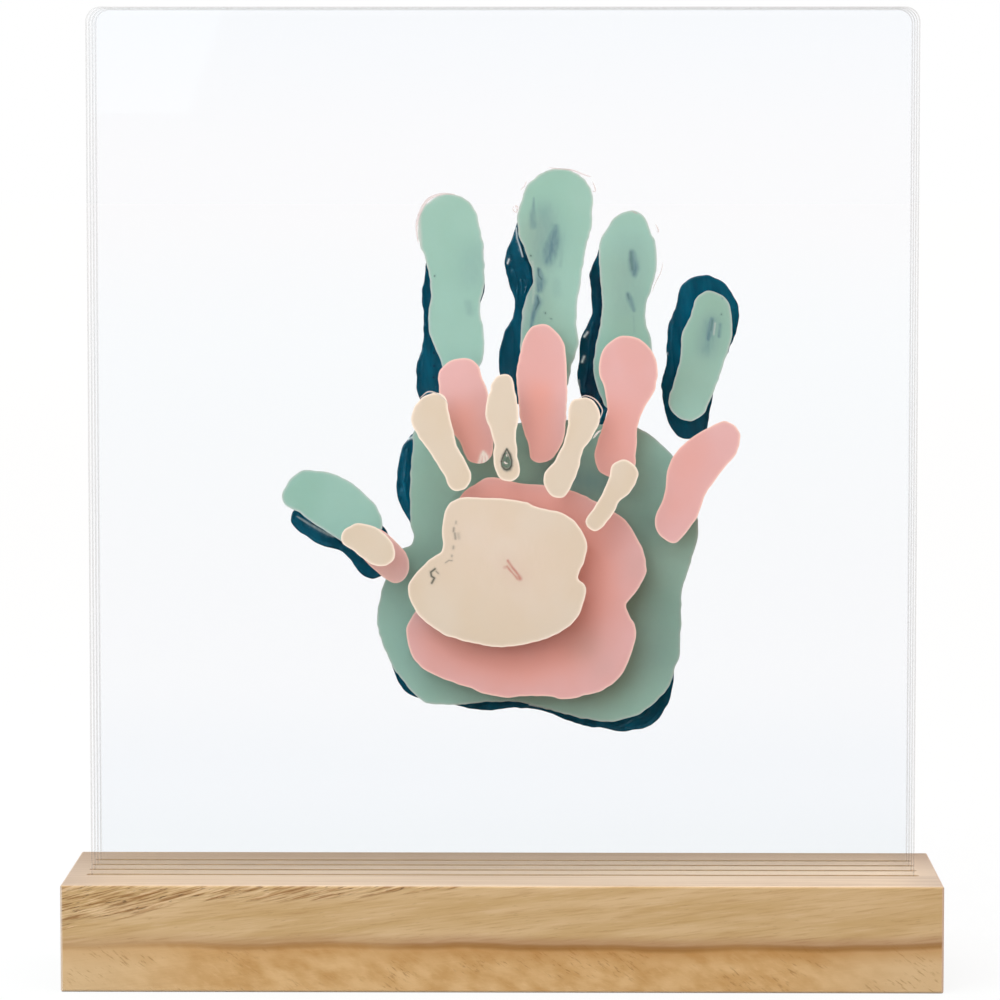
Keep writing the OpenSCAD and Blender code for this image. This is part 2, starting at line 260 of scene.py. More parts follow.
# %% The grain's patterns
GRAIN = {
    "wave": ((38, 30, 60), 0, 2), "cloud": ((45, 18, 5), 7, 3),
    "fibre": ((10, 2.0, 0.6), 7, 4), "pore": ((3.6, 0.8, 0.30), 10, 1),
    "mottle": ((8, 7, 4), -22, 4), "patch": ((20, 12, 8), 0, 1),
    "dash": ((2.8, 1.0, 0.5), -35, 3), "bright": ((4, 1.2, 0.5), -33, 3),
    "drift": ((46, 30, 60), 0, 1), "torn": ((8, 2.0, 0.50), 15, 4),
    "coarse": ((16, 3.0, 1.1), 13, 3), "pit": ((3.4, 1.0, 0.42), 15, 2),
    "line": ((60, 1.1, 9), 0, 3), "ring": ((60, 2.2, 4.0), 0, 2),
    "vessel": ((4, 0.45, 0.45), 0, 1),
}
UPPER = (("#c7a974", "cloud", 0.3, 0.7, 1.0), ("#ad8650", "fibre", 0.50, 0.76, 0.45),
         ("#dfc69f", "fibre", 0.46, 0.28, 0.35), ("#8f6b3c", "pore", 0.66, 0.78, 0.35))
TORN = (("#a2743c", "coarse", 0.48, 0.64, 0.5), ("#8b5f2b", "torn", 0.51, 0.63, 0.65),
        ("#e7cda2", "torn", 0.46, 0.37, 0.65), ("#4e3a1c", "pit", 0.63, 0.71, 0.75))
ENDS = ("#b08b5c", "ring", 0.4, 0.62, 1.0), ("#7c5a30", "vessel", 0.62, 0.72, 0.6)
BAND = (("#a87d5c", 13.6, 15.0, 18.4, 15.4, 0.55), ("#b98744", 7.0, 13.4, 14.6, 13.6, 0.65),
        ("#946629", 12.4, 13.8, 15.4, 14.4, 0.75))
slot_at = sorted(sum(corner[1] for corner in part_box(plate)) / 2 / MM for plate in HANDS.values())
SLOT_PITCH, SLOT_FLOOR = slot_at[1] - slot_at[0], plate_low[2]
PLATE_DEEP, SLOT_SPARE, ENDS_SPARE = plate_high[1] - plate_low[1], 0.25, 2.0
print("plates stand at", np.round(slot_at, 2), "mm, from front to rear")


def product(tree, *values):
    """The values multiplied together."""
    total = values[0]
    for value in values[1:]:
        total = add(tree, "Math", [total, value], operation="MULTIPLY")
    return total


def front_grain(tree, noise, x, z):
    """Upper fibres over lower mottle with dashes, and the band between them: a violet-brown haze,
    gold that fades downwards, and a dark line. Each fades in from a low height to its whole, and
    out again to a high one. The band is faint at the left end."""
    wander = add(tree, "MapRange", [noise["wave"], 0.25, 0.75, -1.0, 1.0])
    height = add(tree, "Math", [z, wander], operation="ADD")
    upper = coats(tree, linear("#d6bb8d"), noise, UPPER)
    lower = coat(tree, linear("#ddba83"), "#c79d60", noise["mottle"], 0.28, 0.74)
    sideways = add(tree, "Math", [x], operation="ABSOLUTE")
    lower = coat(tree, lower, "#dcc295", sideways, 80, 128, 0.75)
    lower = coat(tree, lower, "#e4c696", noise["bright"], 0.54, 0.74, 0.25)
    patches = add(tree, "MapRange", [noise["patch"], 0.46, 0.62], **SMOOTH)
    lower = coat(tree, lower, "#94682f", noise["dash"], 0.55, 0.72, 0.55, zone=patches)
    colour = coat(tree, lower, upper, height, 12.8, 16.2)
    strong = product(tree, add(tree, "MapRange", [noise["drift"], 0.35, 0.62, 0.7, 1.0], **SMOOTH),
                     add(tree, "MapRange", [x, -130, 10, 0.45, 1.0]))
    for over, low, whole_low, high, whole_high, most in BAND:
        above = product(tree, strong, add(tree, "MapRange", [height, low, whole_low], **SMOOTH))
        colour = coat(tree, colour, over, height, high, whole_high, most, zone=above)
    return colour


def torn_fibres(tree, noise, colour, x, y, z):
    """Brown streaks, pale crests and dark pits over a line that rises from the left end. Gives back
    the colour and the zone."""
    rise = add(tree, "MapRange", [x, block_low[0], -92, 18.8, 28.2])
    rise = add(tree, "Math", [rise, add(tree, "MapRange", [x, -50, -3, 0.0, 5.5])], operation="ADD")
    ragged = add(tree, "MapRange", [noise["coarse"], 0.25, 0.75, -2.2, 2.2])
    above = add(tree, "Math", [z, ragged], operation="ADD")
    above = add(tree, "Math", [above, rise], operation="SUBTRACT")
    zone = product(tree, add(tree, "MapRange", [above, -0.5, 1.5], **SMOOTH),
                   add(tree, "MapRange", [y, -22, -29], **SMOOTH))
    return coats(tree, colour, noise, TORN, zone), zone

# %% [markdown]
# The top is planed along the fibres, so it shows fine straight lines. Its darkening to the rear and
# to the left is painted shade, and its paler strip between the plates to the right is painted
# light. It goes grey near the ends. The ends cut the fibres across, so they show rings and pores.
# The upright arrises are painted pale, a painted highlight, and the underside is painted paler, to
# lift the shade there. The slots' walls have one flat colour that sets how dark the shaded slots
# look: painted shade.

# %% Wood
def wood():
    """The front's grain, then the top, the ends and the slots by which way the surface faces."""
    made, tree, place = new_material("oiled pale wood")
    noise = patterns(tree, place, GRAIN)
    x, y, z = add(tree, "SeparateXYZ", [place]).outputs
    facing = add(tree, "SeparateXYZ", [add(tree, "NewGeometry").outputs["Normal"]]).outputs
    colour = front_grain(tree, noise, x, z)
    colour, torn_zone = torn_fibres(tree, noise, colour, x, y, z)

    # Painted shade: the top darkens towards the rear, among the plates.
    planed = coat(tree, linear("#e3d1b8"), "#bca68a", y, -6, 34)
    planed = coat(tree, planed, "#a98d6c", noise["line"], 0.42, 0.7, 0.4)
    sideways, across = (add(tree, "Math", [value], operation="ABSOLUTE")
                        for value in (x, facing["X"]))
    # Painted shade: the top darkens towards the left end.
    planed = coat(tree, planed, "#c9b394", x, 0, -130, 0.3)
    # Painted light: a paler strip on the top between the plates, stronger to the right.
    between = product(tree, add(tree, "MapRange", [y, -14, -11]),
                      add(tree, "MapRange", [y, -7, 30, 1.0, 0.05]))
    planed = coat(tree, planed, "#fae8cb", x, -30, 110, 0.65, zone=between)
    planed = coat(tree, planed, "#b5a99c", sideways, 114, 134, 0.45)
    colour = coat(tree, colour, planed, facing["Z"], 0.45, 0.92)
    # Painted light: faces that look down are painted paler, to lift the shade under the block.
    colour = coat(tree, colour, "#f2e0c0", facing["Z"], -0.1, -0.7)
    # Painted highlight: the rounded upright arrises are painted pale.
    colour = coat(tree, colour, "#e2d1c0", across, 0.1, 0.5, 0.75)
    ends = coats(tree, linear("#caa775"), noise, ENDS)
    colour = coat(tree, colour, ends, across, 0.8, 0.97)

    # Painted shade: the slots' walls get one flat colour that sets how dark the shaded slots look.
    off = add(tree, "Math", [y, slot_at[0]], operation="SUBTRACT")
    off = add(tree, "Math", [off, SLOT_PITCH / 2, -SLOT_PITCH / 2], operation="WRAP")
    reach = PLATE_DEEP / 2 + SLOT_SPARE
    spans = ((off, -reach, reach), (x, plate_low[0] - ENDS_SPARE, plate_high[0] + ENDS_SPARE),
             (y, slot_at[0] - reach, slot_at[-1] + reach),
             (z, SLOT_FLOOR - 0.1, block_high[2] - 0.05))
    inside = product(tree, *(add(tree, "Math", [value, (low + high) / 2, (high - low) / 2],
                                 operation="COMPARE") for value, low, high in spans))
    colour = coat(tree, colour, "#c4a985", inside, 0.0, 1.0)

    tearing = product(tree, noise["torn"], add(tree, "Math", [torn_zone, 0.06], operation="ADD"))
    relief = add(tree, "Math", [product(tree, noise["fibre"], 0.25), tearing], operation="ADD")
    bump = add(tree, "Bump", {"Height": relief, "Distance": 0.5 * MM, "Strength": 0.35})
    finish_with(tree, add(tree, "BsdfPrincipled", {"Base Color": colour, "Roughness": 0.55,
                                                   "IOR": 1.45, "Normal": bump}))
    return made


nodes["block"].material_slots[0].link = "OBJECT"
nodes["block"].material_slots[0].material = wood()
print("wood on", nodes["block"].name)

# %% [markdown]
# ## Clear plates
# Each plate is 2 mm of cast acrylic, cut by a saw and lightly eased along its edges. Seen square
# on, a face gives back hardly any light, and at a slant it mirrors: that is the whole look of it,
# so the face is a mix of see-through and mirror by the angle. Light also gets a little weaker and
# cooler on its way through, and a table gives that tint at some heights in mm. The extra darkening
# low down, towards the block, is painted shade.
# The cut edges scatter a little light, and show as thin pale grey lines.

# %% Acrylic
# The plate's tint by height; its darkening towards the foot is painted shade.
TINT_AND_SHADE_BY_HEIGHT = ((298, (0.9944, 0.9968, 1.0, 1)), (246, (0.9978, 0.9978, 0.9995, 1)),
         (190, (0.9948, 0.9976, 1.0, 1)), (95, (0.9949, 0.9960, 0.9984, 1)),
         (60, (0.9901, 0.9928, 0.9966, 1)), (35, (0.9868, 0.9906, 0.9936, 1)))
STEEPNESS, MIRROR_MOST, MIRROR_LEAST, EDGE_SCATTER = 5.0, 0.95, 0.002, 0.13


def acrylic_face():
    """See-through, with a mirror that grows as the fifth power of the slant."""
    made, tree, place = new_material("clear acrylic, face")
    slant = add(tree, "LayerWeight", {"Blend": 0.5}).outputs["Facing"]
    share = add(tree, "Math", [slant, STEEPNESS], operation="POWER")
    share = add(tree, "Math", [share, MIRROR_MOST, MIRROR_LEAST], operation="MULTIPLY_ADD")
    height = add(tree, "SeparateXYZ", [place]).outputs["Z"]
    (start, tint), *lower = TINT_AND_SHADE_BY_HEIGHT
    for end, over in lower:
        start, tint = end, coat(tree, tint, over, height, start, end)
    through = add(tree, "BsdfTransparent", [tint])
    mirror = add(tree, "BsdfGlossy", {"Roughness": 0.0})
    finish_with(tree, add(tree, "MixShader", [share, through, mirror]))
    return made


def acrylic_edge():
    """A sawn and eased edge: mostly see-through, with a pale scatter."""
    made, tree, _ = new_material("clear acrylic, cut edge")
    through = add(tree, "BsdfTransparent", [linear("#fafafa")])
    scatter = add(tree, "BsdfGlossy", {"Roughness": 0.4, "Color": linear("#f2eeec")})
    finish_with(tree, add(tree, "MixShader", [EDGE_SCATTER, through, scatter]))
    return made

# %% [markdown]
# The plate's surface is a rounded rectangle carried round by a small profile: the easing of the
# front edge, the flat cut, and the easing of the rear edge. Pulling the outline in by a distance
# only makes the corner radius smaller, because the corner centres stay where they are.

# %% Plates
CORNER_R, EASED, CORNER_STEPS, EASED_STEPS = 4.5, 0.4, 12, 3


def plate_surface(low, high):
    """Point = corner centre + (radius - inset) * direction, for each direction and inset."""
    turn = np.linspace(0, math.pi / 2, CORNER_STEPS)
    angle = np.concatenate([turn + k * math.pi / 2 for k in range(4)])
    side = np.repeat([[1, 1], [-1, 1], [-1, -1], [1, -1]], CORNER_STEPS, axis=0)
    middle = (low[[0, 2]] + high[[0, 2]]) / 2
    centre = middle + side * ((high[[0, 2]] - low[[0, 2]]) / 2 - CORNER_R)
    bend = np.linspace(0, math.pi / 2, EASED_STEPS + 1)
    inset = EASED * np.concatenate([1 - np.sin(bend), 1 - np.cos(bend)])
    depth = np.concatenate([low[1] + EASED * (1 - np.cos(bend)),
                            high[1] - EASED * (1 - np.sin(bend))])
    reach = (CORNER_R - inset)[:, None]
    x = centre[:, 0] + reach * np.cos(angle)
    z = centre[:, 1] + reach * np.sin(angle)
    y = np.broadcast_to(depth[:, None], x.shape)
    return np.stack([x, y, z], axis=2)


def mesh_piece(name, points, faces, materials, material_index, smooth):
    """An object from points in millimetres, with a material number and a shading flag per face."""
    mesh = bpy.data.meshes.new(name)
    mesh.from_pydata((np.asarray(points) * MM).tolist(), [], faces)
    for finish in materials:
        mesh.materials.append(finish)
    mesh.polygons.foreach_set("material_index", np.asarray(material_index, dtype=np.int32))
    mesh.polygons.foreach_set("use_smooth", np.asarray(smooth, dtype=bool))
    mesh.update()
    piece = bpy.data.objects.new(name, mesh)
    scene.collection.objects.link(piece)
    return piece


def band_faces(rows, columns):
    """The four-sided faces of a grid that closes on itself along its columns."""
    row, column = np.mgrid[0:rows - 1, 0:columns]
    after = (column + 1) % columns
    corners = (row * columns + column, row * columns + after,
               (row + 1) * columns + after, (row + 1) * columns + column)
    return np.stack(corners, axis=2).reshape(-1, 4)


face_finish, edge_finish = acrylic_face(), acrylic_edge()
for plate in HANDS.values():
    grid = plate_surface(*(np.array(corner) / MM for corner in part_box(plate)))
    rows, columns = grid.shape[:2]
    band = band_faces(rows, columns)[:, ::-1].tolist()
    front = list(range(columns))
    rear = [(rows - 1) * columns + k for k in reversed(front)]
    flags = [1] * len(band) + [0, 0]
    piece = mesh_piece("clear_" + plate, grid.reshape(-1, 3), band + [front, rear],
                       [face_finish, edge_finish], flags, flags)
    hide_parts(plate)
    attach(piece, plate)
print("a plate has", len(band) + 2, "faces")

# %% [markdown]
# ## Paint
# A print is made by a painted hand pressed on the plate. The side against the plate is dead flat,
# and through the acrylic it looks matt and even. The open side dries with a bead along its rim,
# because the pressed paint is pushed outwards, and with small ridges where the skin let go.
# Three hands are seen from their pressed side. The teal one is on the near side of its plate, so
# it shows the open side, still glossy.
#
# The frame's films give the outlines. Each is read from its solid, its corners are softened, and
# its edge is moved in and out a little, as wet paint creeps.

# %% The outline of a film
FLAT_WITHIN, JOINS_WITHIN, LEAST_AREA = 0.02, 0.05, 1.0
STEP, FEWEST, SOFT = 0.45, 24, 0.8
CREEP, CREEP_SHORT, CREEP_LONG, CREEP_FALL = 0.09, 2.5, 14, -1.3


def rim_lines(name, contact):
    """Closed lines, as complex numbers x + iz in mm, round the side of a film that touches its
    plate: an edge that only one of that side's faces has is on a line."""
    mesh = nodes[name].data
    place = np.array([v.co for v in mesh.vertices]) / MM
    flat = np.abs(place[:, 1] - contact) < FLAT_WITHIN
    key = [complex(*np.round(p, 3)) for p in place[:, [0, 2]]]
    net = Counter()
    for face in mesh.polygons:
        corners = list(face.vertices)
        if flat[corners].all():
            for a, b in zip(corners, corners[1:] + corners[:1]):
                net[key[a], key[b]] += 1
                net[key[b], key[a]] -= 1
    start, end = np.array([pair for pair, times in net.items() if times > 0]).T
    order = np.lexsort((start.imag, start.real))
    start, end = start[order], end[order]
    lines = []
    while len(start):
        walk, gap = [0], np.abs(start - end[0])
        while gap.min() < JOINS_WITHIN and gap.argmin() not in walk:
            walk.append(int(gap.argmin()))
            gap = np.abs(start - end[walk[-1]])
        line = start[walk]
        if abs((np.conj(line) * np.roll(line, -1)).imag.sum()) / 2 > LEAST_AREA:
            lines.append(line)
        start, end = np.delete(start, walk), np.delete(end, walk)
    return lines


def crept(line, seed):
    """The line at even steps, with its corners rounded by fading out short waves, and then moved
    sideways by a sum of waves 2.5 to 14 mm long, each with a random start."""
    closed = np.append(line, line[0])
    run = np.append(0, np.cumsum(np.abs(np.diff(closed))))
    count = max(FEWEST, int(run[-1] / STEP))
    even = np.interp(np.linspace(0, run[-1], count, endpoint=False), run, closed)
    waves = np.abs(np.fft.fftfreq(count, run[-1] / count))
    soft = np.fft.ifft(np.fft.fft(even) * np.exp(-2 * (math.pi * SOFT * waves) ** 2))
    chance = np.random.default_rng(seed)
    band = (waves > 1 / CREEP_LONG) & (waves < 1 / CREEP_SHORT)
    band = np.where(band, np.maximum(waves, 0.01) ** CREEP_FALL, 0)
    shift = np.fft.ifft(band * np.exp(2j * math.pi * chance.random(count))).real
    along = np.roll(soft, -1) - np.roll(soft, 1)
    return soft + CREEP * shift / max(shift.std(), 1e-9) * 1j * along / np.abs(along)

# %% [markdown]
# The film needs points inside its outline too: rows close to the rim for the bead, and an even
# field of points further in for ridges and smudges, which is finer under thin marks. How far each
# point lies from the rim decides the thickness there.

# %% Points inside the outline
RING_AT, RING_WITHIN = (0.12, 0.28, 0.5, 0.8, 1.15), 0.03
FIELD_STEP, FIELD_FROM = 0.85, 1.55
FINE_STEP, FINE_FROM, ROWS_APART = 0.2, 0.15, 0.866
KINDS = ("worn", "smudge", "fleck", "pale", "fold")
THIN, FAINT, AT_ONCE = 1.0, 0.03, 1500


def depth_inside(points, lines):
    """Distance from each point to the nearest line. It is below zero outside."""
    a = np.concatenate(lines)
    b = np.concatenate([np.roll(line, -1) for line in lines])
    far = np.empty(len(points))
    for k in range(0, len(points), AT_ONCE):
        p = points[k:k + AT_ONCE, None]
        share = np.clip(((p - a) * np.conj(b - a)).real / np.abs(b - a) ** 2, 0, 1)
        near = np.abs(p - a - share * (b - a)).min(axis=1)
        crosses = (a.imag > p.imag) != (b.imag > p.imag)
        rise = np.where(crosses, b.imag - a.imag, 1)
        where = a.real + (p.imag - a.imag) * (b.real - a.real) / rise
        inside = (crosses & (p.real < where)).sum(axis=1) % 2
        far[k:k + AT_ONCE] = near * np.where(inside, 1, -1)
    return far


def marked(points, strokes, *kinds):
    """Strongest stroke of these kinds at each point. A stroke fades as a bell curve to its sides,
    and its width goes evenly through its list of widths from one end of its path to the other."""
    mark = np.zeros(len(points))
    for kind, strength, widths, *path in strokes:
        wide = np.interp(np.linspace(0, 1, len(path)), np.linspace(0, 1, len(widths)), widths)
        for a, b, start, end in zip(path, path[1:], wide, wide[1:]):
            share = np.clip(((points - a) * np.conj(b - a)).real / abs(b - a) ** 2, 0, 1)
            off = np.abs(points - a - share * (b - a)) / (start + share * (end - start))
            mark = np.maximum(mark, strength * np.exp(-off ** 2) * (kind in kinds))
    return mark


def field(rim, step):
    """Points of a three-way grid over the rim's extent."""
    x = np.arange(rim.real.min(), rim.real.max(), step)
    z = np.arange(rim.imag.min(), rim.imag.max(), step * ROWS_APART)
    return (x[None] + step / 2 * (np.arange(len(z)) % 2)[:, None] + 1j * z[:, None]).ravel()


def film_points(lines, strokes):
    """The rim's points, rows near it, and a field that is finer where thin marks are."""
    rim = np.concatenate(lines)
    tried = []
    for offset in RING_AT:
        for line in lines:
            along = np.roll(line, -1) - np.roll(line, 1)
            side = offset * 1j * along / np.abs(along)
            near = np.concatenate([line + side, line - side])
            tried.append((near, offset - RING_WITHIN, offset + RING_WITHIN))
    thin = [stroke for stroke in strokes if min(stroke[2]) < THIN]
    coarse, fine = (field(rim, step) for step in (FIELD_STEP, FINE_STEP))
    tried.append((coarse[marked(coarse, thin, *KINDS) <= FAINT], FIELD_FROM, math.inf))
    tried.append((fine[marked(fine, thin, *KINDS) > FAINT], FINE_FROM, math.inf))
    points, depths = [rim], [np.zeros(len(rim))]
    for some, least, most in tried:
        depth = depth_inside(some, lines)
        kept = (depth > least) & (depth < most)
        points.append(some[kept])
        depths.append(depth[kept])
    return np.concatenate(points), np.concatenate(depths)

# %% [markdown]
# Thickness, going in from the rim: a steep round shoulder, a low bead half a millimetre in, and
# then a thin even film with ridges. The ridges are a sum of waves in many directions, with more
# of them across the fingers than along.
#
# The points are joined by a Delaunay mesh that keeps the outline's edges. It also spans the bare
# drop in one cream finger, so triangles whose middle lies outside the paint are left out.

# %% A film
RELIEF = {"teal": 0.05, "sage": 0.035, "pink": 0.03, "cream": 0.03}
PRESSED_GAP, RIM_WIDE = 0.015, 0.5
THINNEST, THICKEST, FOLD_HIGH = 0.05, 0.38, 0.2
SHOULDER_HIGH, SHOULDER_WIDE, EVEN_FROM = 0.12, 0.4, 1.2
BEAD_HIGH, BEAD_AT, BEAD_WIDE = 0.09, 0.5, 0.3
WAVES, WAVE_SHORT, WAVE_LONG, SIDEWAYS, UPWARDS = 26, 1.6, 6.0, 1.3, 0.7


def ridges(points, seed):
    """Sum of plane waves 1.6 to 6 mm long with random directions and starts, mostly within 1."""
    chance = np.random.default_rng(seed)
    wave = 2 * math.pi / chance.uniform(WAVE_SHORT, WAVE_LONG, WAVES)
    turn, start = chance.uniform(0, math.pi, WAVES), chance.uniform(0, 2 * math.pi, WAVES)
    along = points.real[:, None] * np.cos(turn) * SIDEWAYS
    along = along + points.imag[:, None] * np.sin(turn) * UPWARDS
    return np.sin(along * wave + start).sum(axis=1) / math.sqrt(WAVES)


def thickness(points, depth, relief, seed, folds):
    """Shoulder as a quarter circle, bead as a bell curve, ridges that fade in from the rim, and
    the folds on top."""
    up = np.clip(depth / SHOULDER_WIDE, 0, 1)
    shoulder = THINNEST + SHOULDER_HIGH * np.sqrt(1 - (1 - up) ** 2)
    bead = BEAD_HIGH * np.exp(-((depth - BEAD_AT) / BEAD_WIDE) ** 2) * up
    waves = relief * ridges(points, seed) * np.clip(depth / EVEN_FROM, 0, 1)
    return np.clip(shoulder + bead + waves + FOLD_HIGH * folds, THINNEST, THICKEST)


def film(hand, part, materials, strokes):
    """A closed skin of paint: the pressed side, the open side, and a low wall between the rims."""
    name = f"{hand}_{part}"
    low, high = (np.array(corner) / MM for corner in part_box(name))
    contact, away = (high[1], -1) if hand == "teal" else (low[1], 1)
    seed = sum(map(ord, name))
    lines = [crept(line, seed + k) for k, line in enumerate(rim_lines(name, contact))]
    points, depth = film_points(lines, strokes)
    ends = np.cumsum([len(line) for line in lines])
    starts = ends - [len(line) for line in lines]
    edges = [(k, k + 1 if k + 1 < e else s) for s, e in zip(starts, ends) for k in range(s, e)]
    given = [Vector((p.real, p.imag)) for p in points]
    places, _, triangles, sources, *_ = geometry.delaunay_2d_cdt(given, edges, [], 2, 1e-6)
    origin = np.array([ids[0] if ids else -1 for ids in sources])
    flat = np.array([complex(*v) for v in places])
    deep = np.where(origin >= 0, depth[origin], 0)
    triangles = np.array(triangles)
    if len(lines) > 1:
        triangles = triangles[depth_inside(flat[triangles].mean(axis=1), lines) > 0]
    used = np.unique(triangles)
    number = np.full(len(flat), -1)
    number[used] = np.arange(len(used))
    flat, deep, origin, triangles = flat[used], deep[used], origin[used], number[triangles]
    count = len(flat)
    thick = thickness(flat, deep, RELIEF[hand], seed, marked(flat, strokes, "fold"))
    base = np.full(count, contact + away * PRESSED_GAP)
    pressed = np.column_stack([flat.real, base, flat.imag])
    opened = np.column_stack([flat.real, base + away * thick, flat.imag])
    slot_of = {int(o): k for k, o in enumerate(origin)}
    wall = [(slot_of[a], slot_of[b], slot_of[b] + count, slot_of[a] + count) for a, b in edges
            if a in slot_of and b in slot_of]
    faces = triangles.tolist() + (triangles[:, ::-1] + count).tolist() + wall
    flags = [0] * len(triangles) + [1] * (len(triangles) + len(wall))
    piece = mesh_piece(name + "_paint", np.concatenate([pressed, opened]), faces, materials,
                       flags, flags)
    shares = {"rim": np.exp(-(deep / RIM_WIDE) ** 2)}
    shares.update((kind, marked(flat, strokes, kind)) for kind in KINDS[:-1])
    for label, share in shares.items():
        layer = piece.data.attributes.new(label, "FLOAT", "POINT")
        layer.data.foreach_set("value", np.tile(share, 2).astype(np.float32))
    return piece

# %% [markdown]
# Each paint has its own few colours, and the marks share them out: the film's even colour and the
# cloud in it, its rim, broad changes of tone, cool smudges, dark flecks and pale scrapes. Some of
# them are painted light and shade: the pink's broad tone is a salmon painted shade, the teal's
# broad tone and smudges are dark painted shade and its pale marks painted highlights, some of the
# sage's smudges and flecks are painted shade, and a few broad pale marks in the cream and the pink
# are painted light, the cream's with a pinker tone of its own. The marks come to the material as
# values kept in the mesh's points. The pressed side is matt. The open side has dried with a skin
# that shines, and its small wrinkles break up the light. The teal's pale marks are painted
# highlights on that skin, so its pressed side has none.

# %% Paint finishes
TINTED = ("base", "cloud", "rim", "worn", "smudge", "fleck", "pale")
# The teal's broad-tone and smudge colours are dark painted shade, and its pale one a painted
# highlight. The pink's broad-tone colour is a salmon painted shade. The sage's smudge and fleck
# colours also serve some painted shade in its palm.
PAINTS = {
    "teal": ("#004c62", "#01607a", "#02465a", "#0b2c47", "#062b40", "#0a2036", "#f2ffff"),
    "sage": ("#a0cdbf", "#99c8b8", "#c8d8d2", "#8fa591", "#668b93", "#2f4f52", "#c6d3cd"),
    "pink": ("#e6bbb9", "#e4b4af", "#fbdcd0", "#eeac9d", "#fff6ea", "#a89b93", "#f8e9dc"),
    "cream": ("#dcd4c1", "#dacfb8", "#fbf2e2", "#dcc7ab", "#b56a55", "#46524a", "#f3e4dd"),
}
RIM_SHARE = {"teal": 0.6, "sage": 0.9, "pink": 0.9, "cream": 0.95}
BRUSHED = {
    "cloud": ((16, 16, 22), 0, 2), "feather": ((0.9, 2, 3.0), 0, 3),
    "wrinkle": ((1.1, 2, 2.6), 0, 3), "wet": ((7, 9, 12), 0, 2),
    "swirl": ((3.5, 3, 17), 9, 5),
}


def paint(hand, side):
    """Poster paint: even colour with a faint cloud in it, or with brushed swirls in the teal, then
    a thin rim and feathered marks."""
    made, tree, place = new_material(f"{hand} poster paint, {side} side")
    tints = dict(zip(TINTED, PAINTS[hand]))
    noise = patterns(tree, place, BRUSHED)
    cloud = (noise["swirl"], 0.36, 0.74) if hand == "teal" else (noise["cloud"], 0.35, 0.7)
    colour = coat(tree, linear(tints["base"]), tints["cloud"], *cloud)
    ragged = add(tree, "MapRange", [noise["feather"], 0.3, 0.7, 0.7, 1.15])
    # These marks carry painted shade and painted highlights as well as real marks; the paint table
    # says which.
    shares = {"rim": RIM_SHARE[hand], "worn": 1.0, "smudge": ragged, "pale": ragged, "fleck": 1.0}
    # The teal's pale marks are painted highlights of its open side.
    if (hand, side) == ("teal", "pressed"):
        shares["pale"] = 0.0
    for label, share in shares.items():
        mark = add(tree, "Attribute", attribute_name=label).outputs["Fac"]
        mark = add(tree, "Math", [mark, share], operation="MULTIPLY", use_clamp=True)
        colour = add(tree, "Mix", {0: mark, 6: colour, 7: linear(tints[label])}, data_type="RGBA")
    sockets = {"Base Color": colour, "Roughness": 0.6, "Specular IOR Level": 0.12}
    if side == "open":
        lively = add(tree, "MapRange", [noise["wet"], 0.48, 0.60, 0.10, 1.0])
        height = add(tree, "Math", [noise["wrinkle"], lively], operation="MULTIPLY")
        bump = add(tree, "Bump", {"Height": height, "Distance": 0.3 * MM, "Strength": 0.7})
        sockets.update({"Roughness": 0.2, "Specular IOR Level": 0.25, "Normal": bump,
                        "Coat Weight": 0.3 if hand == "teal" else 0.1, "Coat Roughness": 0.04})
    finish_with(tree, add(tree, "BsdfPrincipled", sockets))
    return made


finishes = {hand: [paint(hand, "pressed"), paint(hand, "open")] for hand in HANDS}
